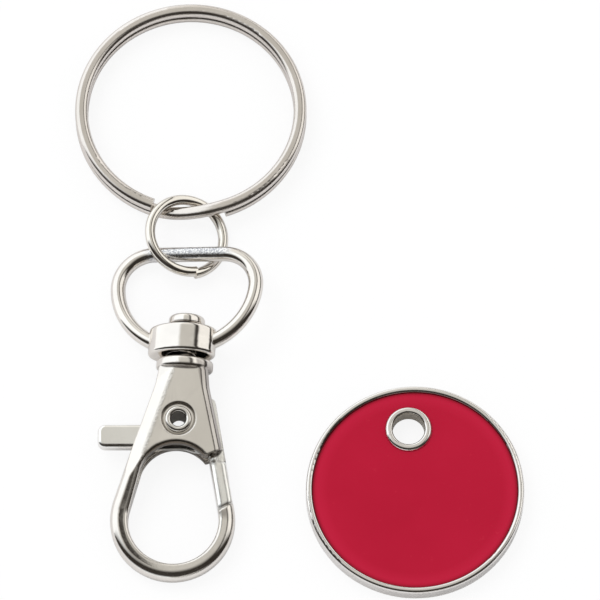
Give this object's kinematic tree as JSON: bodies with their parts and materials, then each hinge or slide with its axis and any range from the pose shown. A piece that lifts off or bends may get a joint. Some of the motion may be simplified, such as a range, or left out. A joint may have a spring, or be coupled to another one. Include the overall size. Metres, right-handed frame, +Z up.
{
  "type": "trolley coin keyring",
  "caption": "Lobster-claw snap hook on a swivel, with a jump ring and a split key ring, lying beside a holed, rimmed trolley coin with red enamel.",
  "frame": {"origin": "on the table, under the middle of the whole keyring's box", "axes": "+X across the keyring from the hook to the coin, +Y from the coin and hook up to the split ring, +Z up from the table"},
  "size_m": [0.0484, 0.0677, 0.0052],
  "materials": {
    "casting_nickel": "polished, nickel plated zinc casting",
    "lever_nickel": "polished, nickel plated zinc casting",
    "rivet_nickel": "rolled brass tube, nickel plated",
    "spring_steel": "drawn spring wire",
    "jump_nickel": "round wire, nickel plated",
    "ring_nickel": "flattened spring wire, nickel plated",
    "coin_steel": "struck steel, nickel plated",
    "coin_enamel": "glossy translucent red enamel"
  },
  "bodies": {
    "hook": {"hook_body": "casting_nickel", "pivot_rivet": "rivet_nickel", "gate_spring": "spring_steel"},
    "gate": {"gate_lever": "lever_nickel"},
    "eye": {"swivel_eye": "casting_nickel"},
    "jump": {"jump_ring": "jump_nickel"},
    "key_ring": {"split_ring": "ring_nickel"},
    "coin": {"coin_blank": "coin_steel", "coin_enamel_front": "coin_enamel", "coin_enamel_back": "coin_enamel"}
  },
  "joints": [
    {"name": "gate_hinge", "type": "hinge", "parent": "hook", "child": "gate", "pos_m": [-0.01265, -0.01489, 0.00223], "axis": [-0.004, -0.0626, 0.998], "range_deg": [-28, 0], "stiffness_Nm_per_rad": 0.012, "springref_deg": 17.19, "deforming": ["gate_spring"]},
    {"name": "eye_swivel", "type": "hinge", "parent": "hook", "child": "eye", "pos_m": [-0.0123, -0.00597, 0.0028], "axis": [0.0644, 0.9961, -0.061], "continuous": true},
    {"name": "jump_swing", "type": "hinge", "parent": "eye", "child": "jump", "pos_m": [-0.01163, 0.00445, 0.00216], "axis": [0.9811, -0.052, 0.1862], "range_deg": [-75, 75]},
    {"name": "ring_swing", "type": "hinge", "parent": "jump", "child": "key_ring", "pos_m": [-0.01198, 0.00992, 0.00164], "axis": [0.9125, -0.3194, 0.2555], "range_deg": [-9, 90]},
    {"name": "coin_lift", "type": "slide", "parent": "hook", "child": "coin", "axis": [0, 0, 1], "range_m": [0, 0.03]}
  ]
}
